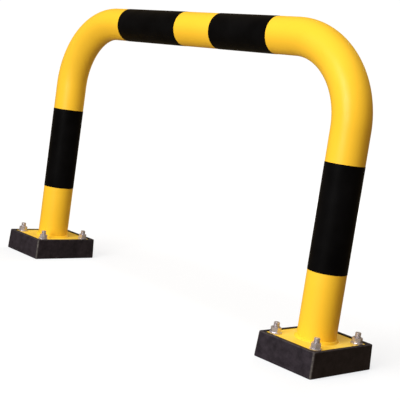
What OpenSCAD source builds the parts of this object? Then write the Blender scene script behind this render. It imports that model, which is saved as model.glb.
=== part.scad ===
// Hoop barrier: a bent round tube on two base plates, each let into an elastic pad.
// Millimetres, +Z up. The origin is on the floor, midway between the two feet.
// X runs along the top bar and Y runs across it.

/* [Hoop] */
// Width over both legs
overall_w = 1000; // [900:10:2000]
// Height from the floor to the top of the bar
overall_h = 650; // [600:10:1200]
// Outer diameter of the tube
tube_d = 76; // [60:1:90]
// Wall of the tube
tube_wall = 3; // [2:0.5:6]
// Radius of each bend, to the middle of the tube
bend_r = 165; // [100:5:190]
// Reach of the weld bead, up the leg and out over the plate
weld_leg = 5; // [3:0.5:8]

/* [Black bands] */
// Thickness of the black film
band_t = 0.4; // [0.2:0.1:1]
// Length of the band on each leg
leg_band_len = 205; // [100:1:215]
// Height of the lower edge of that band over the base plate
leg_band_rise = 131; // [20:1:142]
// Length of the left band on the top bar
bar_band_left_len = 207; // [100:1:240]
// Length of the right band on the top bar
bar_band_right_len = 168; // [100:1:200]
// Yellow gap between the two bands on the top bar
bar_gap = 114; // [40:1:150]
// Distance of the middle of that gap from the middle of the bar
bar_gap_shift = 18; // [-30:1:40]

/* [Base plates] */
// Length of each plate along the bar
plate_x = 126; // [124:1:200]
// Length of each plate across the bar
plate_y = 156; // [148:1:240]
// Thickness of each plate
plate_t = 8; // [5:0.5:12]
// Corner radius of each plate
plate_corner_r = 10; // [4:1:14]

/* [Pads] */
// Height of each pad
pad_h = 50; // [35:1:80]
// Width of the rim beside the plate, along the bar
rim_x = 6; // [4:0.5:20]
// Width of the rim beside the plate, across the bar
rim_y = 9; // [4:0.5:20]
// Depth of the top of the plate below the top of the rim
plate_sink = 2; // [0:0.5:6]
// Gap between the edge of the plate and its pocket
pocket_gap = 0.5; // [0.2:0.1:2]
// How much further out the pad reaches at the floor than at its top, on each side
pad_draft = 2; // [0:0.5:6]

/* [Fixings] */
// Diameter of the studs
stud_d = 12; // [8:0.5:14]
// Height of each stud over the base plate
stud_rise = 22; // [18:1:40]
// Height of the lower end of each stud over the floor
stud_lift = 2; // [0.5:0.5:10]
// Chamfer at both ends of each stud
stud_chamfer = 1.2; // [0.4:0.2:2]
// Distance between studs along the bar
stud_pitch_x = 100; // [90:1:100]
// Distance between studs across the bar
stud_pitch_y = 122; // [100:1:126]
// Gap round a stud in the plate and in the pad
hole_gap = 1; // [0.5:0.1:2]
// Diameter of the washers
washer_d = 24; // [20:1:25]
// Thickness of the washers
washer_t = 2.5; // [1:0.1:3]
// Gap round a stud in its washer
washer_gap = 0.5; // [0.2:0.1:1]
// Width of the nuts across their flats
nut_af = 18; // [16:1:19]
// Height of the nuts
nut_h = 10; // [6:0.5:12]
// Slope of the chamfer on the nuts, in degrees
nut_chamfer_deg = 30; // [15:1:40]
// Turn from one nut to the next, in degrees
nut_turn = 37; // [0:1:59]

/* [Hidden] */
$fn = 96;
// Length by which a cutting shape runs past the face that it cuts
past = 1;
SIDES = ["left", "right"];
CORNERS = [[-1, -1], [1, -1], [1, 1], [-1, 1]];
CORNER_NAMES = ["front_left", "front_right", "back_right", "back_left"];
FIXINGS = ["stud", "washer", "nut"];

tube_r = tube_d / 2;
leg_x = overall_w / 2 - tube_r;
bar_z = overall_h - tube_r;
bend_x = leg_x - bend_r;
bend_z = bar_z - bend_r;
rim_z = pad_h;
plate_top = rim_z - plate_sink;
plate_bottom = plate_top - plate_t;
pocket_x = plate_x + 2 * pocket_gap;
pocket_y = plate_y + 2 * pocket_gap;
pad_top_x = pocket_x + 2 * rim_x;
pad_top_y = pocket_y + 2 * rim_y;
hole_d = stud_d + 2 * hole_gap;
gap_left = bar_gap_shift - bar_gap / 2;
gap_right = bar_gap_shift + bar_gap / 2;
nut_corner_r = nut_af / 2 / cos(30);
nut_chamfer_h = (nut_corner_r - nut_af / 2) * tan(nut_chamfer_deg);

function side_sign(side) = side == "left" ? -1 : 1;

// Solid rod of radius r along the whole hoop. Its legs start at height foot_z.
module hoop_run(r, foot_z) {
    for (side = [-1, 1])
        translate([side * leg_x, 0, foot_z])
            cylinder(r = r, h = bend_z - foot_z);
    for (m = [0, 1])
        mirror([m, 0, 0])
            translate([bend_x, 0, bend_z])
                rotate([90, 0, 0])
                    rotate_extrude(angle = 90)
                        translate([bend_r, 0])
                            circle(r = r);
    translate([-bend_x, 0, bar_z])
        rotate([0, 90, 0])
            cylinder(r = r, h = 2 * bend_x);
}

module hoop_tube() {
    color("gold")
        difference() {
            hoop_run(tube_r, plate_top);
            hoop_run(tube_r - tube_wall, plate_top - past);
        }
}

// Sleeve of film that fits the tube, along +Z from the origin
module sleeve(length) {
    difference() {
        cylinder(r = tube_r + band_t, h = length);
        translate([0, 0, -past])
            cylinder(r = tube_r, h = length + 2 * past);
    }
}

module leg_band(side) {
    color("black")
        translate([side_sign(side) * leg_x, 0, plate_top + leg_band_rise])
            sleeve(leg_band_len);
}

module bar_band(side) {
    length = side == "left" ? bar_band_left_len : bar_band_right_len;
    start = side == "left" ? gap_left - length : gap_right;
    color("black")
        translate([start, 0, bar_z])
            rotate([0, 90, 0])
                sleeve(length);
}

// Quarter-round bead in the corner between the leg and its plate
module weld(side) {
    color("gold")
        translate([side_sign(side) * leg_x, 0, plate_top])
            rotate_extrude()
                translate([tube_r, 0])
                    intersection() {
                        circle(r = weld_leg);
                        square(weld_leg);
                    }
}

module rounded_rect(x, y, r) {
    square([x - 2 * r, y], center = true);
    square([x, y - 2 * r], center = true);
    for (c = CORNERS)
        translate([c.x * (x / 2 - r), c.y * (y / 2 - r)])
            circle(r = r);
}

// Holes for the studs of one foot, from height z over a length h
module stud_holes(z, h) {
    for (c = CORNERS)
        translate([c.x * stud_pitch_x / 2, c.y * stud_pitch_y / 2, z])
            cylinder(d = hole_d, h = h);
}

module base_plate(side) {
    color("gold")
        translate([side_sign(side) * leg_x, 0, 0])
            difference() {
                translate([0, 0, plate_bottom])
                    linear_extrude(plate_t)
                        rounded_rect(plate_x, plate_y, plate_corner_r);
                stud_holes(plate_bottom - past, plate_t + 2 * past);
            }
}

// Outline of a pad seen along one side: top_w wide at its top and wider at the floor
module pad_outline(top_w) {
    polygon([
        [-top_w / 2 - pad_draft, 0],
        [top_w / 2 + pad_draft, 0],
        [top_w / 2, pad_h],
        [-top_w / 2, pad_h]
    ]);
}

// Prism with the outline of a pad in the XZ plane, length long across it
module pad_prism(top_w, length) {
    rotate([90, 0, 0])
        translate([0, 0, -length / 2])
            linear_extrude(length)
                pad_outline(top_w);
}

module pad(side) {
    long_x = pad_top_x + 2 * pad_draft + past;
    long_y = pad_top_y + 2 * pad_draft + past;
    color("dimgray")
        translate([side_sign(side) * leg_x, 0, 0])
            difference() {
                intersection() {
                    pad_prism(pad_top_x, long_y);
                    rotate([0, 0, 90])
                        pad_prism(pad_top_y, long_x);
                }
                translate([0, 0, plate_bottom])
                    linear_extrude(plate_t + plate_sink + past)
                        rounded_rect(pocket_x, pocket_y, plate_corner_r + pocket_gap);
                stud_holes(-past, pad_h);
            }
}

// Rod of radius r along +Z from the origin, chamfered at both ends
module chamfered_rod(r, h, chamfer) {
    rotate_extrude()
        polygon([
            [0, 0],
            [r - chamfer, 0],
            [r, chamfer],
            [r, h - chamfer],
            [r - chamfer, h],
            [0, h]
        ]);
}

module stud() {
    color("silver")
        translate([0, 0, stud_lift])
            chamfered_rod(stud_d / 2, plate_top + stud_rise - stud_lift, stud_chamfer);
}

module washer() {
    color("silver")
        translate([0, 0, plate_top])
            difference() {
                cylinder(d = washer_d, h = washer_t);
                translate([0, 0, -past])
                    cylinder(d = stud_d + 2 * washer_gap, h = washer_t + 2 * past);
            }
}

// Hexagon nut with its corners chamfered at the top
module nut(turn) {
    color("silver")
        translate([0, 0, plate_top + washer_t])
            difference() {
                intersection() {
                    rotate([0, 0, turn])
                        cylinder(r = nut_corner_r, h = nut_h, $fn = 6);
                    rotate_extrude()
                        polygon([
                            [0, 0],
                            [nut_corner_r + past, 0],
                            [nut_corner_r + past, nut_h - nut_chamfer_h - past * tan(nut_chamfer_deg)],
                            [nut_af / 2, nut_h],
                            [0, nut_h]
                        ]);
                }
                translate([0, 0, -past])
                    cylinder(d = stud_d, h = nut_h + 2 * past);
            }
}

// One fixing of the given kind at corner i of a foot
module fixing(kind, side, i) {
    translate([
        side_sign(side) * leg_x + CORNERS[i].x * stud_pitch_x / 2,
        CORNERS[i].y * stud_pitch_y / 2,
        0
    ]) {
        if (kind == "stud") stud();
        if (kind == "washer") washer();
        if (kind == "nut") nut((i + (side == "left" ? 0 : len(CORNERS))) * nut_turn);
    }
}

hoop_tube();
for (s = SIDES) {
    weld(s);
    leg_band(s);
    bar_band(s);
    base_plate(s);
    pad(s);
    for (f = FIXINGS)
        for (i = [0 : len(CORNERS) - 1])
            fixing(f, s, i);
}
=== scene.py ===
import logging
import math
from collections.abc import Callable
from dataclasses import dataclass
from enum import Enum

import bpy
from mathutils import Matrix, Vector

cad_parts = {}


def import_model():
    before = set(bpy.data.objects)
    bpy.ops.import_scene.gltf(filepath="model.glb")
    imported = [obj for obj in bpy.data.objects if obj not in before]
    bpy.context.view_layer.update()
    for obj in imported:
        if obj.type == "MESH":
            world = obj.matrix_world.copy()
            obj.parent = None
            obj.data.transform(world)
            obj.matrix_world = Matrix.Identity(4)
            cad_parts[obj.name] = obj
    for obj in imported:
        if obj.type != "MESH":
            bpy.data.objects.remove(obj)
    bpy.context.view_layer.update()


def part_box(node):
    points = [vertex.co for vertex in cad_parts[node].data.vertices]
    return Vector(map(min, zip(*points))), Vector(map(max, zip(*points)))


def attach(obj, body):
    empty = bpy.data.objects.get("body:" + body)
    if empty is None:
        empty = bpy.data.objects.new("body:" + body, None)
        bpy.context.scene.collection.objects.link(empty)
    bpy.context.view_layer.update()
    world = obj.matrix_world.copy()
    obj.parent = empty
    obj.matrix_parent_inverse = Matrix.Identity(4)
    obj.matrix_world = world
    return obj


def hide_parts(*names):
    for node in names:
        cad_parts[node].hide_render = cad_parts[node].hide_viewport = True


LOG = logging.getLogger("hoop_barrier")
MM = 0.001
QUARTER_TURN = math.pi / 2
FULL_TURN = 2 * math.pi
PHOTO_SIDE_PX = 400
SENSOR_MM = 36.0
SIGHT_END = 100.0

SMOOTH_ANGLE = math.radians(32)
MERGE_WITHIN = 0.002 * MM
LOOKS_UP = 0.99
HOLE_SIDES = 40
HEX_SIDES = 6
CHAMFER_STEPS = 1

Colour = tuple[float, float, float]
Place = tuple[float, float, float]
Range = tuple[float, float]
Box = tuple[Vector, Vector]
PointTest = Callable[[Vector], bool]
EdgeTest = Callable[[Vector, Vector], bool]
Socket = bpy.types.NodeSocket

WHOLE: Range = (0.0, 1.0)
NOISE_RANGE: Range = (0.3, 0.7)


class Side(Enum):
    """The two legs of the hoop."""

    LEFT = "left"
    RIGHT = "right"


class Corner(Enum):
    """The corners of a foot, in the order in which the nuts are turned."""

    FRONT_LEFT = "front_left"
    FRONT_RIGHT = "front_right"
    BACK_RIGHT = "back_right"
    BACK_LEFT = "back_left"


class Look(Enum):
    """The finishes, each with its name and the record's slot that it belongs to."""

    COAT = ("yellow_powder_coat", "yellow_coat")
    # The base plate's coat is paler: partly dust, partly painted light from above on the plate's
    # top.
    PLATE_COAT = ("yellow_powder_coat_dusty", "yellow_coat")
    FILM = ("black_band_film", "black_film")
    RUBBER = ("black_moulded_rubber", "pad_rubber")
    ZINC = ("bright_zinc_plate", "zinc_steel")

    @property
    def title(self) -> str:
        """The name of the material."""
        return self.value[0]

    @property
    def slot(self) -> str:
        """The record's material slot."""
        return self.value[1]


class Cut(Enum):
    """What a boolean keeps of a piece."""

    OUTSIDE = "DIFFERENCE"
    INSIDE = "INTERSECT"


@dataclass(frozen=True)
class Grain:
    """A noise pattern: its cells in a metre, its finer layers and how strong they are."""

    per_metre: float
    detail: float = 2.0
    roughness: float = 0.5


@dataclass(frozen=True)
class Relief:
    """A bumped pattern: its grain, its full height in metres and the share of it that shows."""

    grain: Grain
    height: float
    strength: float


class NodeGraph:
    """The node tree of one new material, with short ways to add and join nodes."""

    def __init__(self, name: str) -> None:
        """Starts a material that has only its shader and its output.

        Args:
            name: the material's name.
        """
        self.material = bpy.data.materials.new(name)
        self.material.use_nodes = True
        self.tree = self.material.node_tree
        self.shader = self.tree.nodes["Principled BSDF"]
        self.place = self.add("ShaderNodeTexCoord").outputs["Object"]

    def add(self, kind: str, **values: object) -> bpy.types.Node:
        """Adds a node.

        Args:
            kind: the node's type name.
            values: attributes of the node to set.

        Returns:
            The new node.
        """
        node = self.tree.nodes.new(kind)
        for key, value in values.items():
            setattr(node, key, value)
        return node

    def join(self, start: Socket, end: Socket) -> None:
        """Links an output socket to an input socket."""
        self.tree.links.new(start, end)

    def feed(self, name: str, source: Socket) -> None:
        """Links a value to one of the shader's inputs."""
        self.join(source, self.shader.inputs[name])

    def constant(self, name: str, value: float | tuple[float, ...]) -> None:
        """Sets a number or a colour on the shader's own socket."""
        self.shader.inputs[name].default_value = value

    def noise(self, grain: Grain) -> Socket:
        """Adds a noise texture on Object coordinates.

        Args:
            grain: the size and the strength of the noise.

        Returns:
            The texture's factor output.
        """
        node = self.add("ShaderNodeTexNoise")
        node.inputs["Scale"].default_value = grain.per_metre
        node.inputs["Detail"].default_value = grain.detail
        node.inputs["Roughness"].default_value = grain.roughness
        self.join(self.place, node.inputs["Vector"])
        return node.outputs["Fac"]

    def spread(self, source: Socket, to: Range, of: Range = NOISE_RANGE) -> Socket:
        """Maps a value from one range to another, and clamps it.

        Args:
            source: the value to map.
            to: the results at the two ends.
            of: the two ends of the source's range.

        Returns:
            The mapped value's socket.
        """
        node = self.add("ShaderNodeMapRange")
        node.inputs["From Min"].default_value = of[0]
        node.inputs["From Max"].default_value = of[1]
        node.inputs["To Min"].default_value = to[0]
        node.inputs["To Max"].default_value = to[1]
        self.join(source, node.inputs["Value"])
        return node.outputs["Result"]

    def blend(self, factor: Socket, first: Colour | Socket, second: Colour) -> Socket:
        """Mixes two colours by a factor.

        Args:
            factor: 0 gives the first colour and 1 the second.
            first: a linear colour, or the socket of one.
            second: a linear colour.

        Returns:
            The mixed colour's socket.
        """
        node = self.add("ShaderNodeMix", data_type="RGBA")
        if isinstance(first, Socket):
            self.join(first, node.inputs["A"])
        else:
            node.inputs["A"].default_value = (*first, 1.0)
        node.inputs["B"].default_value = (*second, 1.0)
        self.join(factor, node.inputs["Factor"])
        return node.outputs["Result"]

    def attribute(self, name: str) -> Socket:
        """Reads a number that the mesh carries at its points."""
        return self.add("ShaderNodeAttribute", attribute_name=name).outputs["Fac"]

    def times(self, first: Socket, second: Socket) -> Socket:
        """Multiplies two values.

        Args:
            first: one value.
            second: the other value.

        Returns:
            The product's socket.
        """
        node = self.add("ShaderNodeMath", operation="MULTIPLY")
        self.join(first, node.inputs[0])
        self.join(second, node.inputs[1])
        return node.outputs["Value"]

    def bump(self, relief: Relief, under: Socket | None = None) -> Socket:
        """Turns a noise into a bumped normal.

        Args:
            relief: the pattern of the bump.
            under: a normal from a bump that lies under this one.

        Returns:
            The normal's socket.
        """
        node = self.add("ShaderNodeBump")
        node.inputs["Distance"].default_value = relief.height
        node.inputs["Strength"].default_value = relief.strength
        self.join(self.noise(relief.grain), node.inputs["Height"])
        if under is not None:
            self.join(under, node.inputs["Normal"])
        return node.outputs["Normal"]


@dataclass(frozen=True)
class PowderCoat:
    """Yellow powder coat with a soft gloss and a faint orange peel."""

    look: Look = Look.COAT
    base: Colour = (0.97, 0.595, 0.040)
    deep: Colour = (0.94, 0.555, 0.030)
    roughness: Range = (0.34, 0.44)
    specular: float = 0.32
    drift: Grain = Grain(6.0, detail=3.0)
    sheen: Grain = Grain(38.0)
    peel: Relief = Relief(Grain(520.0, detail=1.0), height=0.05 * MM, strength=0.35)

    @classmethod
    def dusty(cls) -> "PowderCoat":
        """The paler coat of a base plate: partly dust that lies on it, partly painted light, its
        top drawn lighter as if more light fell on it from above.
        """
        return cls(Look.PLATE_COAT, base=(0.95, 0.665, 0.085), deep=(0.92, 0.625, 0.065))

    def material(self) -> bpy.types.Material:
        """Builds the finish.

        Returns:
            The new material.
        """
        graph = NodeGraph(self.look.title)
        drift = graph.spread(graph.noise(self.drift), WHOLE)
        graph.feed("Base Color", graph.blend(drift, self.base, self.deep))
        graph.feed("Roughness", graph.spread(graph.noise(self.sheen), self.roughness))
        graph.constant("Specular IOR Level", self.specular)
        graph.feed("Normal", graph.bump(self.peel))
        return graph.material


@dataclass(frozen=True)
class BandFilm:
    """Satin black film wrapped on the tube."""

    base: Colour = (0.0015, 0.0015, 0.0018)
    worn: Colour = (0.0034, 0.0034, 0.0039)
    roughness: Range = (0.36, 0.48)
    specular: float = 0.03
    wear: Grain = Grain(22.0, detail=4.0)
    sheen: Grain = Grain(60.0)
    tooth: Relief = Relief(Grain(1400.0, detail=1.0), height=0.02 * MM, strength=0.25)

    def material(self) -> bpy.types.Material:
        """Builds the finish.

        Returns:
            The new material.
        """
        graph = NodeGraph(Look.FILM.title)
        wear = graph.spread(graph.noise(self.wear), WHOLE)
        graph.feed("Base Color", graph.blend(wear, self.base, self.worn))
        graph.feed("Roughness", graph.spread(graph.noise(self.sheen), self.roughness))
        graph.constant("Specular IOR Level", self.specular)
        graph.feed("Normal", graph.bump(self.tooth))
        return graph.material


@dataclass(frozen=True)
class MouldedRubber:
    """Matt black moulded rubber with a fine grain, a little dust, and grey outer edges that are
    partly wear and partly a painted highlight.
    """

    base: Colour = (0.012, 0.010, 0.015)
    dusty: Colour = (0.036, 0.030, 0.041)
    # Grey of the pad's outer edges: partly wear, partly a painted highlight on the rounded corners.
    grey_wear_and_highlight: Colour = (0.135, 0.128, 0.125)
    roughness: Range = (0.46, 0.66)
    specular: float = 0.10
    dust: Grain = Grain(60.0, detail=7.0, roughness=0.7)
    dust_range: Range = (0.34, 0.72)
    patch: Grain = Grain(130.0, detail=5.0, roughness=0.6)
    patch_range: Range = (0.36, 0.60)
    patch_wear_and_highlight: Range = (0.25, 1.0)
    swell: Relief = Relief(Grain(70.0, detail=2.0), height=0.5 * MM, strength=0.3)
    tooth: Relief = Relief(Grain(1100.0, detail=3.0), height=0.12 * MM, strength=0.5)
    wear_and_highlight_mark: str = "wear"

    def material(self) -> bpy.types.Material:
        """Builds the finish.

        Returns:
            The new material.
        """
        graph = NodeGraph(Look.RUBBER.title)
        dust = graph.noise(self.dust)
        colour = graph.blend(graph.spread(dust, WHOLE, self.dust_range), self.base, self.dusty)
        patches = graph.spread(graph.noise(self.patch), self.patch_wear_and_highlight, self.patch_range)
        # The grey on the outer edges is partly worn rubber and partly a painted highlight on the
        # rounded corners and top edges.
        wear = graph.times(graph.attribute(self.wear_and_highlight_mark), patches)
        graph.feed("Base Color", graph.blend(wear, colour, self.grey_wear_and_highlight))
        graph.feed("Roughness", graph.spread(dust, self.roughness))
        graph.constant("Specular IOR Level", self.specular)
        graph.feed("Normal", graph.bump(self.tooth, under=graph.bump(self.swell)))
        return graph.material


@dataclass(frozen=True)
class ZincPlate:
    """Bright zinc plate with the cloudy tone of a barrel finish."""

    base: Colour = (0.74, 0.71, 0.78)
    cloudy: Colour = (0.55, 0.53, 0.58)
    roughness: Range = (0.22, 0.40)
    metal: float = 0.72
    cloud: Grain = Grain(160.0, detail=4.0, roughness=0.6)
    scratch: Relief = Relief(Grain(2600.0, detail=2.0), height=0.02 * MM, strength=0.3)

    def material(self) -> bpy.types.Material:
        """Builds the finish.

        Returns:
            The new material.
        """
        graph = NodeGraph(Look.ZINC.title)
        cloud = graph.noise(self.cloud)
        graph.feed("Base Color", graph.blend(graph.spread(cloud, WHOLE), self.base, self.cloudy))
        graph.feed("Roughness", graph.spread(cloud, self.roughness))
        graph.constant("Metallic", self.metal)
        graph.feed("Normal", graph.bump(self.scratch))
        return graph.material


@dataclass(frozen=True)
class StudioPaint:
    """Pale matt paint of the studio floor, which glows a little, and more so far from the lamps."""

    base: Colour = (0.34, 0.34, 0.34)
    near_glow: Colour = (0.63, 0.65, 0.68)
    far_glow: Colour = (0.90, 0.91, 0.93)
    reach: Range = (0.9, 4.0)
    roughness: float = 0.9
    specular: float = 0.1

    def material(self) -> bpy.types.Material:
        """Builds the finish.

        Returns:
            The new material.
        """
        graph = NodeGraph("studio_floor")
        distance = graph.add("ShaderNodeVectorMath", operation="LENGTH")
        graph.join(graph.place, distance.inputs[0])
        reach = graph.spread(distance.outputs["Value"], WHOLE, self.reach)
        graph.feed("Emission Color", graph.blend(reach, self.near_glow, self.far_glow))
        graph.constant("Emission Strength", 1.0)
        graph.constant("Base Color", (*self.base, 1.0))
        graph.constant("Roughness", self.roughness)
        graph.constant("Specular IOR Level", self.specular)
        return graph.material


class Bench:
    """Ways to shape a mesh with Blender's own operators."""

    @staticmethod
    def clear() -> None:
        """Leaves edit mode and deselects every object."""
        if bpy.context.object is not None and bpy.context.object.mode != "OBJECT":
            bpy.ops.object.mode_set(mode="OBJECT")
        bpy.ops.object.select_all(action="DESELECT")

    @staticmethod
    def hold(piece: bpy.types.Object) -> None:
        """Selects one object and makes it active.

        Args:
            piece: the object.
        """
        Bench.clear()
        piece.select_set(True)
        bpy.context.view_layer.objects.active = piece

    @staticmethod
    def take(name: str) -> bpy.types.Object:
        """Names the object that was just added, and puts its place, turn and scale into its mesh.

        Args:
            name: the piece's name.

        Returns:
            The named object.
        """
        piece = bpy.context.object
        piece.name = name
        piece.data.name = name
        bpy.ops.object.transform_apply(location=True, rotation=True, scale=True)
        return piece

    @staticmethod
    def block(name: str, low: Vector, high: Vector) -> bpy.types.Object:
        """Adds a cube that fills a box.

        Args:
            name: the piece's name.
            low: the box's lowest corner.
            high: the box's highest corner.

        Returns:
            The new object.
        """
        Bench.clear()
        bpy.ops.mesh.primitive_cube_add(size=1.0, location=(low + high) / 2, scale=high - low)
        return Bench.take(name)

    @staticmethod
    def round_bar(name: str, radius: float, low: float, high: float,
                  at: tuple[float, float] = (0.0, 0.0), sides: int = 64) -> bpy.types.Object:
        """Adds an upright cylinder.

        Args:
            name: the piece's name.
            radius: its radius.
            low: the height of its lower end.
            high: the height of its upper end.
            at: the place of its axis in X and Y.
            sides: how many sides it has.

        Returns:
            The new object.
        """
        Bench.clear()
        bpy.ops.mesh.primitive_cylinder_add(vertices=sides, radius=radius, depth=high - low,
                                            location=(*at, (low + high) / 2))
        return Bench.take(name)

    @staticmethod
    def edit(piece: bpy.types.Object, kind: str) -> None:
        """Opens a piece in edit mode with nothing selected.

        Args:
            piece: the object.
            kind: VERT, EDGE or FACE, what is selected there.
        """
        Bench.hold(piece)
        bpy.ops.object.mode_set(mode="EDIT")
        bpy.ops.mesh.select_mode(type=kind)
        bpy.ops.mesh.select_all(action="DESELECT")

    @staticmethod
    def done() -> None:
        """Goes back to object mode."""
        bpy.ops.object.mode_set(mode="OBJECT")

    @staticmethod
    def pick_points(piece: bpy.types.Object, test: PointTest) -> None:
        """Opens a piece in edit mode with only the points selected that pass a test.

        Args:
            piece: the object.
            test: takes a point's place and says whether it is selected.
        """
        Bench.edit(piece, "VERT")
        Bench.done()
        for point in piece.data.vertices:
            point.select = test(point.co)
        bpy.ops.object.mode_set(mode="EDIT")

    @staticmethod
    def pick_edges(piece: bpy.types.Object, test: EdgeTest) -> None:
        """Opens a piece in edit mode with only the edges selected that pass a test.

        Args:
            piece: the object.
            test: takes an edge's two ends and says whether it is selected.
        """
        Bench.edit(piece, "EDGE")
        Bench.done()
        points = piece.data.vertices
        for edge in piece.data.edges:
            first, second = edge.vertices
            edge.select = test(points[first].co, points[second].co)
        bpy.ops.object.mode_set(mode="EDIT")

    @staticmethod
    def pick_top(piece: bpy.types.Object) -> None:
        """Opens a piece in edit mode with only the faces selected that look straight up.

        Args:
            piece: the object.
        """
        Bench.edit(piece, "FACE")
        Bench.done()
        for face in piece.data.polygons:
            face.select = face.normal.z > LOOKS_UP
        bpy.ops.object.mode_set(mode="EDIT")

    @staticmethod
    def extrude(move: Vector) -> None:
        """Extrudes the selected faces by a move."""
        bpy.ops.mesh.extrude_region_move(TRANSFORM_OT_translate={"value": move})

    @staticmethod
    def resize(by: Place, about: Vector) -> None:
        """Scales what is selected about a point."""
        bpy.ops.transform.resize(value=by, center_override=about)

    @staticmethod
    def round_edges(piece: bpy.types.Object, test: EdgeTest, radius: float, segments: int) -> None:
        """Bevels the edges that pass a test.

        Args:
            piece: the object.
            test: takes an edge's two ends and says whether it is bevelled.
            radius: the width of the bevel.
            segments: how many faces it has across.
        """
        Bench.pick_edges(piece, test)
        bpy.ops.mesh.bevel(offset=radius, segments=segments, affect="EDGES", profile=0.5)
        Bench.done()

    @staticmethod
    def combine(piece: bpy.types.Object, tool: bpy.types.Object, keep: Cut) -> None:
        """Applies a boolean with a tool, and deletes the tool.

        Args:
            piece: the object to change.
            tool: the object to cut by.
            keep: which part of the piece is kept.
        """
        Bench.hold(piece)
        modifier = piece.modifiers.new("cut", "BOOLEAN")
        modifier.operation = keep.value
        modifier.object = tool
        modifier.solver = "EXACT"
        bpy.ops.object.modifier_apply(modifier=modifier.name)
        bpy.data.objects.remove(tool, do_unlink=True)

    @staticmethod
    def drill(piece: bpy.types.Object, radius: float, low: float, high: float) -> None:
        """Cuts an upright hole for each stud of a foot into a piece on the Z axis.

        Args:
            piece: the object.
            radius: the radius of the holes.
            low: the height where the drill ends.
            high: the height where the drill starts.
        """
        for stud in foot_studs():
            tool = Bench.round_bar("drill", radius, low, high, stud.xy, HOLE_SIDES)
            Bench.combine(piece, tool, Cut.OUTSIDE)

    @staticmethod
    def soften(piece: bpy.types.Object, radius: float, segments: int = 2) -> None:
        """Bevels every sharp edge of a piece with a modifier, and applies it.

        Args:
            piece: the object.
            radius: the width of the bevel.
            segments: how many faces it has across.
        """
        Bench.hold(piece)
        modifier = piece.modifiers.new("soften", "BEVEL")
        modifier.width = radius
        modifier.segments = segments
        modifier.limit_method = "ANGLE"
        modifier.angle_limit = SMOOTH_ANGLE
        bpy.ops.object.modifier_apply(modifier=modifier.name)

    @staticmethod
    def finish(piece: bpy.types.Object) -> bpy.types.Object:
        """Merges doubles, turns the faces outwards and smooths by angle, with flats kept flat.

        Args:
            piece: the object.

        Returns:
            The same object.
        """
        Bench.edit(piece, "VERT")
        bpy.ops.mesh.select_all(action="SELECT")
        bpy.ops.mesh.remove_doubles(threshold=MERGE_WITHIN)
        bpy.ops.mesh.normals_make_consistent(inside=False)
        Bench.done()
        bpy.ops.object.shade_smooth_by_angle(angle=SMOOTH_ANGLE)
        modifier = piece.modifiers.new("flats", "WEIGHTED_NORMAL")
        modifier.keep_sharp = True
        bpy.ops.object.modifier_apply(modifier=modifier.name)
        return piece

    @staticmethod
    def copy(piece: bpy.types.Object, name: str, move: Matrix) -> bpy.types.Object:
        """Copies a piece with its own mesh, and puts a move into that mesh.

        Args:
            piece: the object to copy.
            name: the copy's name.
            move: the move of the copy's points.

        Returns:
            The copy.
        """
        Bench.hold(piece)
        bpy.ops.object.duplicate(linked=False)
        twin = bpy.context.object
        twin.matrix_world = move
        return Bench.take(name)


@dataclass
class Finishes:
    """The materials of the whole object, each made once."""

    by_look: dict[Look, bpy.types.Material]

    @classmethod
    def make(cls) -> "Finishes":
        """Builds every finish.

        Returns:
            The set of materials.
        """
        return cls({
            Look.COAT: PowderCoat().material(),
            # The plates' paler coat: partly dust, partly painted light from above.
            Look.PLATE_COAT: PowderCoat.dusty().material(),
            Look.FILM: BandFilm().material(),
            Look.RUBBER: MouldedRubber().material(),
            Look.ZINC: ZincPlate().material(),
        })

    def seat(self, piece: bpy.types.Object, look: Look, node: str) -> None:
        """Dresses a finished piece, makes it ride on the part and stand for its CAD node.

        Args:
            piece: the piece.
            look: its finish.
            node: the CAD node that it stands for.
        """
        piece.data.materials.clear()
        piece.data.materials.append(self.by_look[look])
        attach(piece, "root")
        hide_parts(node)
        LOG.info("%s stands for %s with %d faces", piece.name, node, len(piece.data.polygons))


def axis_foot(node: str) -> Vector:
    """Where the upright axis of a node meets the floor.

    Args:
        node: the CAD node.

    Returns:
        The place, at floor height.
    """
    low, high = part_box(node)
    return Vector(((low.x + high.x) / 2, (low.y + high.y) / 2, 0.0))


def leg_axis(side: Side) -> Vector:
    """Where the axis of a leg meets the floor."""
    return axis_foot(f"pad_{side.value}")


def stud_place(side: Side, corner: Corner) -> Vector:
    """Where the axis of a stud meets the floor."""
    return axis_foot(f"stud_{side.value}_{corner.value}")


def foot_box(kind: str) -> Box:
    """The box of a kind of piece of the left foot, with the leg's axis moved to the Z axis.

    Args:
        kind: the start of the node's name.

    Returns:
        The lowest and the highest corner.
    """
    low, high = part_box(f"{kind}_{Side.LEFT.value}")
    axis = leg_axis(Side.LEFT)
    return low - axis, high - axis


def foot_studs() -> list[Vector]:
    """The places of the studs of a foot, with the leg's axis moved to the Z axis."""
    return [stud_place(Side.LEFT, corner) - leg_axis(Side.LEFT) for corner in Corner]


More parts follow.
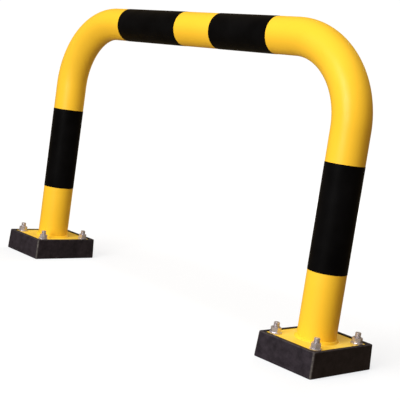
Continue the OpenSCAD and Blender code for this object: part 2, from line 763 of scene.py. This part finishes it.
@dataclass
class Hoop:
    """The tube, bent twice in one plane, and its four bands of film."""

    finishes: Finishes
    radius: float = 38.0 * MM
    bend_radius: float = 165.0 * MM
    sides: int = 96
    bend_steps: int = 48
    film: float = 0.37 * MM
    film_sink: float = 0.1 * MM
    film_edge: float = 0.15 * MM
    film_edge_steps: int = 2

    def build(self) -> None:
        """Models the tube and the bands and seats them."""
        self.finishes.seat(self.tube(), Look.COAT, "hoop_tube")
        for node in ("bar_band_left", "bar_band_right"):
            self.finishes.seat(self.band(node), Look.FILM, node)
        first = self.band("leg_band_left")
        step = leg_axis(Side.RIGHT) - leg_axis(Side.LEFT)
        second = Bench.copy(first, "leg_band_right_film", Matrix.Translation(step))
        self.finishes.seat(first, Look.FILM, "leg_band_left")
        self.finishes.seat(second, Look.FILM, "leg_band_right")

    def tube(self) -> bpy.types.Object:
        """Bends the tube from a round face: up a leg, along the bar and down the other leg.

        Returns:
            The finished tube.
        """
        low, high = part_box("hoop_tube")
        leg_x = leg_axis(Side.RIGHT).x
        bend_z = high.z - self.radius - self.bend_radius
        bend_x = leg_x - self.bend_radius
        Bench.clear()
        bpy.ops.mesh.primitive_circle_add(vertices=self.sides, radius=self.radius, fill_type="NGON",
                                          location=(-leg_x, 0.0, low.z))
        tube = Bench.take("hoop_tube_bent")
        Bench.edit(tube, "FACE")
        bpy.ops.mesh.select_all(action="SELECT")
        Bench.extrude(Vector((0.0, 0.0, bend_z - low.z)))
        self.bend(Vector((-bend_x, 0.0, bend_z)))
        Bench.extrude(Vector((2 * bend_x, 0.0, 0.0)))
        self.bend(Vector((bend_x, 0.0, bend_z)))
        Bench.extrude(Vector((0.0, 0.0, low.z - bend_z)))
        Bench.done()
        return Bench.finish(tube)

    def bend(self, centre: Vector) -> None:
        """Spins the selected end face a quarter turn about an axis along Y."""
        bpy.ops.mesh.spin(steps=self.bend_steps, angle=-QUARTER_TURN, center=centre,
                          axis=(0.0, 1.0, 0.0))

    def band(self, node: str) -> bpy.types.Object:
        """Models a band: spins a thin strip with softened corners, its section, round the tube.

        Args:
            node: the CAD node of the band.

        Returns:
            The finished band.
        """
        low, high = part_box(node)
        centre, size = (low + high) / 2, high - low
        outer = self.radius + self.film
        inner = self.radius - self.film_sink
        mid_film = (outer + inner) / 2
        upright = size.z > size.x
        along = Vector((0.0, 0.0, 1.0)) if upright else Vector((1.0, 0.0, 0.0))
        turn = -QUARTER_TURN if upright else 0.0
        Bench.clear()
        bpy.ops.mesh.primitive_plane_add(size=1.0, location=centre - Vector((0.0, mid_film, 0.0)),
                                         rotation=(0.0, turn, 0.0))
        bpy.context.object.scale = (size.dot(along), outer - inner, 1.0)
        band = Bench.take(f"{node}_film")
        Bench.pick_points(band, lambda point: abs(point.y) > mid_film)
        bpy.ops.mesh.bevel(offset=self.film_edge, segments=self.film_edge_steps,
                           affect="VERTICES")
        bpy.ops.mesh.select_all(action="SELECT")
        bpy.ops.mesh.delete(type="ONLY_FACE")
        bpy.ops.mesh.select_all(action="SELECT")
        bpy.ops.mesh.spin(steps=self.sides, angle=FULL_TURN, center=centre, axis=along)
        Bench.done()
        return Bench.finish(band)


@dataclass
class Pad:
    """The moulded pad under a foot: drafted sides, rounded edges and a pocket for the plate."""

    look: Look = Look.RUBBER
    draft: float = 2.0 * MM
    rim_x: float = 6.0 * MM
    rim_y: float = 9.0 * MM
    corner_round: float = 4.0 * MM
    corner_steps: int = 6
    edge_round: float = 2.0 * MM
    edge_steps: int = 4
    pocket_depth: float = 10.0 * MM
    pocket_corner: float = 10.5 * MM
    pocket_steps: int = 8
    lip_round: float = 0.8 * MM
    lip_steps: int = 3
    hole_radius: float = 7.0 * MM
    near: float = 0.1 * MM
    # Strength of the grey on rounded corners and top edges: partly wear, partly a painted
    # highlight.
    corner_wear_and_highlight: float = 1.4
    top_wear_and_highlight: float = 0.5

    def build(self) -> bpy.types.Object:
        """Models the pad on the Z axis.

        Returns:
            The finished pad.
        """
        low, high = foot_box("pad")
        size = high - low
        mouth = Vector((size.x / 2 - self.draft - self.rim_x,
                        size.y / 2 - self.draft - self.rim_y, high.z))
        inwards = (1 - 2 * self.draft / size.x, 1 - 2 * self.draft / size.y, 1.0)
        floor_z = high.z - self.pocket_depth

        def upright(first: Vector, second: Vector) -> bool:
            """Whether an edge climbs a wall."""
            return abs(first.z - second.z) > self.near

        def level(first: Vector, second: Vector) -> bool:
            """Whether an edge lies flat."""
            return not upright(first, second)

        def at_mouth(first: Vector, second: Vector) -> bool:
            """Whether both ends of an edge lie round the mouth of the pocket."""
            return all(max(abs(end.x) - mouth.x, abs(end.y) - mouth.y, mouth.z - end.z) < self.near
                       for end in (first, second))

        pad = Bench.block("pad_master", low, high)
        Bench.pick_top(pad)
        Bench.resize(inwards, Vector((0.0, 0.0, high.z)))
        Bench.done()
        Bench.round_edges(pad, upright, self.corner_round, self.corner_steps)
        Bench.round_edges(pad, level, self.edge_round, self.edge_steps)
        pocket = Bench.block("pocket", Vector((-mouth.x, -mouth.y, floor_z)),
                             mouth + Vector((0.0, 0.0, MM)))
        Bench.round_edges(pocket, upright, self.pocket_corner, self.pocket_steps)
        Bench.combine(pad, pocket, Cut.OUTSIDE)
        Bench.round_edges(pad, at_mouth, self.lip_round, self.lip_steps)
        Bench.drill(pad, self.hole_radius, low.z - MM, floor_z + MM)
        Bench.finish(pad)
        self.mark_wear_and_highlight(pad, mouth)
        return pad

    def mark_wear_and_highlight(self, pad: bpy.types.Object, mouth: Vector) -> None:
        """Marks how far each point lies on a rounded outer edge, which is drawn grey: partly worn
        rubber, partly a painted highlight.

        Args:
            pad: the finished pad.
            mouth: the half size of the pocket's mouth, inside which nothing is greyed.
        """
        # The grey mark is partly wear and partly a painted highlight on the rounded corners and top
        # edges.
        wear = pad.data.attributes.new(MouldedRubber.wear_and_highlight_mark, "FLOAT", "POINT")
        for point, mark in zip(pad.data.vertices, wear.data):
            if max(abs(point.co.x) - mouth.x, abs(point.co.y) - mouth.y) < MM:
                continue
            across = min(abs(point.normal.x), abs(point.normal.y))
            upwards = min(point.normal.xy.length, max(point.normal.z, 0.0))
            mark.value = min(self.corner_wear_and_highlight * across + self.top_wear_and_highlight * upwards, 1.0)


@dataclass
class Plate:
    """The coated base plate of a foot, with rounded corners and softened edges."""

    look: Look = Look.PLATE_COAT
    corner_round: float = 10.0 * MM
    corner_steps: int = 10
    edge_round: float = 0.9 * MM
    edge_steps: int = 3
    hole_radius: float = 7.0 * MM

    def build(self) -> bpy.types.Object:
        """Models the plate on the Z axis.

        Returns:
            The finished plate.
        """
        low, high = foot_box("base_plate")
        plate = Bench.block("base_plate_master", low, high)
        Bench.round_edges(plate, lambda a, b: abs(a.z - b.z) > MM, self.corner_round,
                          self.corner_steps)
        Bench.drill(plate, self.hole_radius, low.z - MM, high.z + MM)
        Bench.soften(plate, self.edge_round, self.edge_steps)
        return Bench.finish(plate)


@dataclass
class Weld:
    """The coated weld bead round the foot of a leg, with the ripples of a hand weld.

    Its section is a corner cut off by a hollow arc. Between two crests the section shrinks
    towards the corner, by the factors in dips.
    """

    look: Look = Look.COAT
    reach: float = 5.0 * MM
    hollow: float = 4.0 * MM
    ripples: int = 84
    dips: tuple[float, ...] = (0.965, 0.915)
    circle_points: int = 72
    near_share: float = 0.1

    def build(self) -> bpy.types.Object:
        """Models the bead on the Z axis: one ripple of its section, then the ring of all ripples.

        Returns:
            The finished bead.
        """
        low, high = foot_box("weld")
        corner = Vector(((high.x - low.x) / 2 - self.reach, 0.0, low.z))
        radius = math.hypot(self.reach + self.hollow, self.hollow)
        pitch = FULL_TURN / self.ripples
        steps = len(self.dips) + 1
        Bench.clear()
        bpy.ops.mesh.primitive_circle_add(vertices=self.circle_points, radius=radius,
                                          fill_type="NGON", rotation=(QUARTER_TURN, 0.0, 0.0),
                                          location=corner - Vector((self.hollow, 0.0, self.hollow)))
        bead = Bench.take("weld_master")
        Bench.edit(bead, "VERT")
        for normal in ((1.0, 0.0, 0.0), (0.0, 0.0, 1.0)):
            bpy.ops.mesh.select_all(action="SELECT")
            bpy.ops.mesh.bisect(plane_co=corner, plane_no=normal, clear_inner=True)
        bpy.ops.mesh.select_all(action="SELECT")
        bpy.ops.mesh.delete(type="ONLY_FACE")
        bpy.ops.mesh.select_all(action="SELECT")
        bpy.ops.mesh.spin(steps=steps, angle=pitch, center=(0.0, 0.0, 0.0), axis=(0.0, 0.0, 1.0))
        Bench.done()
        way = math.copysign(1.0, bead.data.vertices[-1].co.y)
        near = pitch * self.near_share
        for i, dip in enumerate(self.dips, start=1):
            angle = way * pitch * i / steps
            Bench.pick_points(bead, lambda p, a=angle: abs(math.atan2(p.y, p.x) - a) < near)
            Bench.resize((dip, dip, dip), Matrix.Rotation(angle, 3, "Z") @ corner)
            Bench.done()
        self.repeat(bead, way * pitch)
        return Bench.finish(bead)

    def repeat(self, bead: bpy.types.Object, pitch: float) -> None:
        """Turns one ripple into the whole ring.

        Args:
            bead: the object that holds one ripple.
            pitch: the angle of one ripple.
        """
        Bench.clear()
        bpy.ops.object.empty_add(rotation=(0.0, 0.0, pitch))
        step = bpy.context.object
        Bench.hold(bead)
        modifier = bead.modifiers.new("ring", "ARRAY")
        modifier.count = self.ripples
        modifier.use_relative_offset = False
        modifier.use_object_offset = True
        modifier.offset_object = step
        bpy.context.view_layer.update()
        bpy.ops.object.modifier_apply(modifier=modifier.name)
        bpy.data.objects.remove(step, do_unlink=True)


@dataclass
class Fixing:
    """A zinc piece of a fixing, with the turn of its first copy and of each next one after it."""

    look: Look = Look.ZINC
    first_turn: float = 0.0
    next_turn: float = 0.0


@dataclass
class Stud(Fixing):
    """The threaded stud of a fixing: a helical thread over a plain shank, chamfered at the tip."""

    thread_pitch: float = 1.75 * MM
    thread_depth: float = 0.95 * MM
    thread_length: float = 27.0 * MM
    thread_sides: int = 24
    chamfer: float = 1.2 * MM
    shank_sides: int = 32
    trim_sides: int = 48
    trim_room: float = 1.02
    trim_overlap: float = 0.05 * MM
    near: float = 0.01 * MM
    merge_within: float = 0.001 * MM

    def build(self, box: Box) -> bpy.types.Object:
        """Models the stud on the Z axis.

        Args:
            box: the box of a CAD stud.

        Returns:
            The finished stud.
        """
        low, high = box
        radius = (high.x - low.x) / 2
        start = high.z - self.thread_length
        thread = self.thread(radius, start)
        trim = Bench.round_bar("trim", radius * self.trim_room, start + self.trim_overlap, high.z,
                               sides=self.trim_sides)
        Bench.round_edges(trim, lambda a, b: min(a.z, b.z) > high.z - self.near, self.chamfer,
                          CHAMFER_STEPS)
        Bench.combine(thread, trim, Cut.INSIDE)
        shank = Bench.round_bar("shank", radius - self.thread_depth / 2, low.z, start,
                                sides=self.shank_sides)
        Bench.soften(shank, self.chamfer / 2, CHAMFER_STEPS)
        Bench.hold(thread)
        shank.select_set(True)
        bpy.ops.object.join()
        return Bench.finish(thread)

    def thread(self, radius: float, start: float) -> bpy.types.Object:
        """Carries a circle, set off its axis, up a helix, which makes crests and roots.

        Args:
            radius: the radius over the crests.
            start: the height where the thread begins.

        Returns:
            The closed thread.
        """
        off_axis = self.thread_depth / 2
        Bench.clear()
        bpy.ops.mesh.primitive_circle_add(vertices=self.thread_sides, radius=radius - off_axis,
                                          location=(off_axis, 0.0, start))
        thread = Bench.take("stud_master")
        screw = thread.modifiers.new("thread", "SCREW")
        screw.screw_offset = self.thread_pitch
        screw.iterations = math.ceil(self.thread_length / self.thread_pitch)
        screw.steps = self.thread_sides
        screw.render_steps = self.thread_sides
        bpy.ops.object.modifier_apply(modifier=screw.name)
        Bench.edit(thread, "EDGE")
        bpy.ops.mesh.select_all(action="SELECT")
        bpy.ops.mesh.remove_doubles(threshold=self.merge_within)
        bpy.ops.mesh.select_all(action="SELECT")
        bpy.ops.mesh.region_to_loop()
        bpy.ops.mesh.edge_face_add()
        bpy.ops.mesh.select_all(action="SELECT")
        bpy.ops.mesh.normals_make_consistent(inside=False)
        Bench.done()
        return thread


@dataclass
class Washer(Fixing):
    """The flat washer of a fixing, with softened edges."""

    bore: float = 6.5 * MM
    edge_round: float = 0.35 * MM
    sides: int = 72

    def build(self, box: Box) -> bpy.types.Object:
        """Models the washer on the Z axis.

        Args:
            box: the box of a CAD washer.

        Returns:
            The finished washer.
        """
        low, high = box
        radius = (high.x - low.x) / 2
        washer = Bench.round_bar("washer_master", radius, low.z, high.z, sides=self.sides)
        bore = Bench.round_bar("bore", self.bore, low.z - MM, high.z + MM)
        Bench.combine(washer, bore, Cut.OUTSIDE)
        Bench.soften(washer, self.edge_round)
        return Bench.finish(washer)


@dataclass
class Nut(Fixing):
    """The hexagon nut of a fixing: chamfered corners, a countersunk bore and softened edges."""

    first_turn: float = math.radians(-30.0)
    next_turn: float = math.radians(37.0)
    flats: float = 18.0 * MM
    bore: float = 6.0 * MM
    countersink: float = 0.6 * MM
    chamfer_angle: float = math.radians(30.0)
    edge_round: float = 0.25 * MM
    blank_room: float = 1.03
    blank_sides: int = 96

    def build(self, box: Box) -> bpy.types.Object:
        """Models the nut on the Z axis.

        Args:
            box: the box of a CAD nut.

        Returns:
            The finished nut.
        """
        low, high = box
        corner_radius = self.flats / 2 / math.cos(math.pi / HEX_SIDES)
        nut = Bench.round_bar("nut_master", corner_radius, low.z, high.z, sides=HEX_SIDES)
        Bench.combine(nut, self.blank(corner_radius * self.blank_room, low.z, high.z), Cut.INSIDE)
        bore = Bench.round_bar("bore", self.bore, low.z - MM, high.z - self.countersink)
        grown = (self.bore + 2 * self.countersink) / self.bore
        self.taper(bore, 2 * self.countersink, grown, high.z)
        Bench.combine(nut, bore, Cut.OUTSIDE)
        Bench.soften(nut, self.edge_round)
        return Bench.finish(nut)

    def blank(self, radius: float, low: float, high: float) -> bpy.types.Object:
        """Models the turned blank that chamfers the nut's upper corners.

        Args:
            radius: the blank's radius.
            low: the height of the nut's foot.
            high: the height of the nut's top.

        Returns:
            The blank.
        """
        fall = (radius - self.flats / 2) * math.tan(self.chamfer_angle)
        blank = Bench.round_bar("blank", radius, low - MM, high - fall, sides=self.blank_sides)
        self.taper(blank, fall, self.flats / 2 / radius, high)
        return blank

    def taper(self, bar: bpy.types.Object, rise: float, factor: float, high: float) -> None:
        """Extrudes the top of a round bar into a cone.

        Args:
            bar: the bar, on the Z axis.
            rise: the height of the cone.
            factor: how many times as wide as the bar the cone ends.
            high: the height of the nut's top, about which it is resized.
        """
        Bench.pick_top(bar)
        Bench.extrude(Vector((0.0, 0.0, rise)))
        Bench.resize((factor, factor, 1.0), Vector((0.0, 0.0, high)))
        Bench.done()


@dataclass
class Feet:
    """Both feet. Each kind of piece is modelled once, and copied to each of its places."""

    finishes: Finishes

    def build(self) -> None:
        """Builds and seats every piece of both feet."""
        for kind, maker in {"pad": Pad(), "base_plate": Plate(), "weld": Weld()}.items():
            master = maker.build()
            for side in Side:
                node = f"{kind}_{side.value}"
                move = Matrix.Translation(leg_axis(side))
                self.finishes.seat(Bench.copy(master, f"{node}_shaped", move), maker.look, node)
            bpy.data.objects.remove(master, do_unlink=True)
        for kind, maker in {"stud": Stud(), "washer": Washer(), "nut": Nut()}.items():
            master = maker.build(self.fixing_box(kind))
            places = [(side, corner) for side in Side for corner in Corner]
            for i, (side, corner) in enumerate(places):
                node = f"{kind}_{side.value}_{corner.value}"
                turn = Matrix.Rotation(maker.first_turn + i * maker.next_turn, 4, "Z")
                move = Matrix.Translation(stud_place(side, corner)) @ turn
                self.finishes.seat(Bench.copy(master, f"{node}_zinc", move), maker.look, node)
            bpy.data.objects.remove(master, do_unlink=True)

    def fixing_box(self, kind: str) -> Box:
        """The box of one fixing's node, moved to the Z axis.

        Args:
            kind: stud, washer or nut.

        Returns:
            Its lowest and highest corner.
        """
        low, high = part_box(f"{kind}_{Side.LEFT.value}_{Corner.FRONT_LEFT.value}")
        axis = stud_place(Side.LEFT, Corner.FRONT_LEFT)
        return low - axis, high - axis


@dataclass(frozen=True)
class SoftLamp:
    """A square area light, with its side in metres. Only a mirrored one shows in glossy paint."""

    name: str
    place: Place
    side: float
    watts: float
    colour: Colour
    mirrored: bool = False

    def build(self, aim: Vector) -> None:
        """Adds the light, out of the camera's sight, and turns it to a point.

        Args:
            aim: the point that it faces.
        """
        light = bpy.data.lights.new(self.name, "AREA")
        light.shape = "SQUARE"
        light.size = self.side
        light.energy = self.watts
        light.color = self.colour
        lamp = bpy.data.objects.new(self.name, light)
        lamp.location = self.place
        lamp.rotation_euler = (aim - Vector(self.place)).to_track_quat("-Z", "Y").to_euler()
        lamp.visible_camera = False
        lamp.visible_glossy = self.mirrored
        bpy.context.collection.objects.link(lamp)


@dataclass
class Studio:
    """The plain floor, the soft lights and the photograph's camera.

    The camera's angles are in degrees: how far it is turned to the left of Y, how far it looks
    down and how far it leans.
    """

    floor_radius: float = 9.0
    floor_sides: int = 96
    floor_smooth_angle: float = math.radians(40)
    bowl_radius: float = 3.0
    bowl_steps: int = 10
    near: float = 0.01
    surround: Colour = (1.0, 0.74, 0.42)
    surround_strength: float = 0.25
    lamps: tuple[SoftLamp, ...] = (
        SoftLamp("key_light", (0.6, -2.4, 1.1), 1.2, 39.0, (1.0, 0.98, 0.95), mirrored=True),
        SoftLamp("low_light", (0.3, -1.8, 0.32), 0.6, 11.5, (1.0, 0.98, 0.95)),
        SoftLamp("back_light", (-1.0, 2.6, 1.5), 1.8, 46.0, (1.0, 0.97, 0.93)),
        SoftLamp("top_light", (0.2, -3.0, 9.0), 4.7, 530.0, (1.0, 0.99, 0.96)),
    )
    lamp_aim: Place = (0.0, 0.0, 0.3)
    camera_place: Place = (1.475, -1.302, 0.471)
    camera_yaw: float = 46.84
    camera_pitch: float = 6.76
    camera_roll: float = -8.36
    focal_px: float = 876.6

    def build(self) -> None:
        """Builds the floor, the lights and the camera."""
        self.floor()
        self.world()
        for lamp in self.lamps:
            lamp.build(Vector(self.lamp_aim))
        self.camera()

    def floor(self) -> None:
        """Models the floor as a wide disc with a rim that turns up, so that no horizon shows."""
        Bench.clear()
        bpy.ops.mesh.primitive_circle_add(vertices=self.floor_sides, radius=self.floor_radius,
                                          fill_type="NGON")
        floor = Bench.take("studio_floor")
        for i in range(self.bowl_steps):
            before, after = (QUARTER_TURN * (i + k) / self.bowl_steps for k in (0, 1))
            height = self.bowl_radius * (1 - math.cos(before))
            rise = self.bowl_radius * (math.cos(before) - math.cos(after))
            growth = ((self.floor_radius + self.bowl_radius * math.sin(after))
                      / (self.floor_radius + self.bowl_radius * math.sin(before)))
            Bench.pick_edges(floor, lambda a, b, rim=height - self.near: min(a.z, b.z) > rim)
            bpy.ops.mesh.extrude_edges_move(TRANSFORM_OT_translate={"value": (0.0, 0.0, rise)})
            Bench.resize((growth, growth, 1.0), Vector((0.0, 0.0, 0.0)))
            Bench.done()
        Bench.hold(floor)
        bpy.ops.object.shade_smooth_by_angle(angle=self.floor_smooth_angle)
        floor.data.materials.append(StudioPaint().material())
        floor.visible_diffuse = False
        floor.visible_glossy = False

    def world(self) -> None:
        """Gives the scene a dim warm surround and plain colours."""
        world = bpy.data.worlds.new("studio_surround")
        world.use_nodes = True
        background = world.node_tree.nodes["Background"]
        background.inputs["Color"].default_value = (*self.surround, 1.0)
        background.inputs["Strength"].default_value = self.surround_strength
        bpy.context.scene.world = world
        bpy.context.scene.view_settings.view_transform = "Standard"

    def camera(self) -> None:
        """Places the camera at the photograph's view, with the hoop's lean as a roll."""
        yaw = math.radians(self.camera_yaw)
        pitch = math.radians(self.camera_pitch)
        roll = math.radians(self.camera_roll)
        ahead = Vector((-math.sin(yaw) * math.cos(pitch),
                        math.cos(yaw) * math.cos(pitch),
                        -math.sin(pitch)))
        level = Vector((math.cos(yaw), math.sin(yaw), 0.0))
        below = ahead.cross(level)
        right = math.cos(roll) * level + math.sin(roll) * below
        down = math.cos(roll) * below - math.sin(roll) * level
        data = bpy.data.cameras.new("photo_view")
        data.sensor_width = SENSOR_MM
        data.lens = self.focal_px / PHOTO_SIDE_PX * SENSOR_MM
        data.clip_end = SIGHT_END
        camera = bpy.data.objects.new("photo_view", data)
        turn = Matrix((right, -down, -ahead)).transposed().to_4x4()
        camera.matrix_world = Matrix.Translation(self.camera_place) @ turn
        bpy.context.collection.objects.link(camera)
        bpy.context.scene.camera = camera


def main() -> None:
    """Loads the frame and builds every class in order."""
    logging.basicConfig(level=logging.INFO, format="%(name)s: %(message)s")
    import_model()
    Studio().build()
    finishes = Finishes.make()
    Hoop(finishes).build()
    Feet(finishes).build()
    Bench.clear()


if __name__ == "__main__":
    main()
